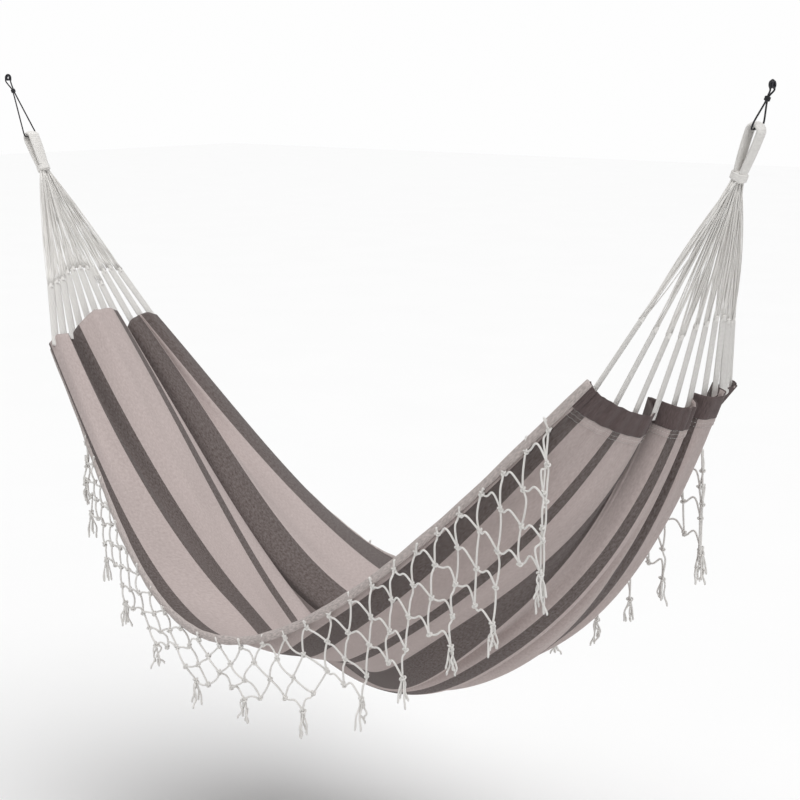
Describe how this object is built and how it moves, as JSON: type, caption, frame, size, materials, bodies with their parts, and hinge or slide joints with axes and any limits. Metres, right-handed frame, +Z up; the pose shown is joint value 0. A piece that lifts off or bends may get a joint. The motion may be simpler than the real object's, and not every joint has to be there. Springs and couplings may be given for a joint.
{
  "type": "hanging hammock",
  "caption": "Striped beige and taupe cotton hammock with white clew strings, woven tabs and a knotted net fringe with tassels, hung by black cords on two rings.",
  "frame": {"origin": "middle of the hole of the left hanging ring", "axes": "+X runs level to the right hanging ring, +Y from the front edge of the bed to its back edge, +Z up"},
  "size_m": [2.529, 0.8882, 1.5758],
  "materials": {
    "black_ring": "satin",
    "black_cord": "braided",
    "white_string": "matte twisted cotton",
    "woven_tab": "matte twined cotton",
    "dark_band": "matte woven",
    "striped_cloth": "matte woven",
    "pale_hem": "matte woven",
    "net_cord": "matte twisted cotton"
  },
  "bodies": {
    "hangers": {"hang_ring_left": "black_ring", "hang_ring_right": "black_ring"},
    "hammock": {"hang_cord_left": "black_cord", "hang_cord_right": "black_cord", "cord_knot_left": "black_cord", "cord_knot_right": "black_cord", "rope_eye_left": "white_string", "rope_eye_right": "white_string", "eye_wrap_left": "white_string", "eye_wrap_right": "white_string", "clew_strings_left": "white_string", "clew_strings_right": "white_string", "tab_bindings_left": "white_string", "tab_bindings_right": "white_string", "woven_tabs_left": "woven_tab", "woven_tabs_right": "woven_tab", "end_band_left": "dark_band", "end_band_right": "dark_band", "bed_cloth": "striped_cloth", "edge_hem_front": "pale_hem", "edge_hem_back": "pale_hem", "fringe_knots_front": "net_cord", "fringe_knots_back": "net_cord", "fringe_net_front": "net_cord", "fringe_net_back": "net_cord", "tassels_front": "net_cord", "tassels_back": "net_cord"}
  },
  "joints": [
    {"name": "swing", "type": "hinge", "parent": "hangers", "child": "hammock", "pos_m": [0, 0, 0], "axis": [1, 0, 0], "range_deg": [-30, 30]}
  ]
}
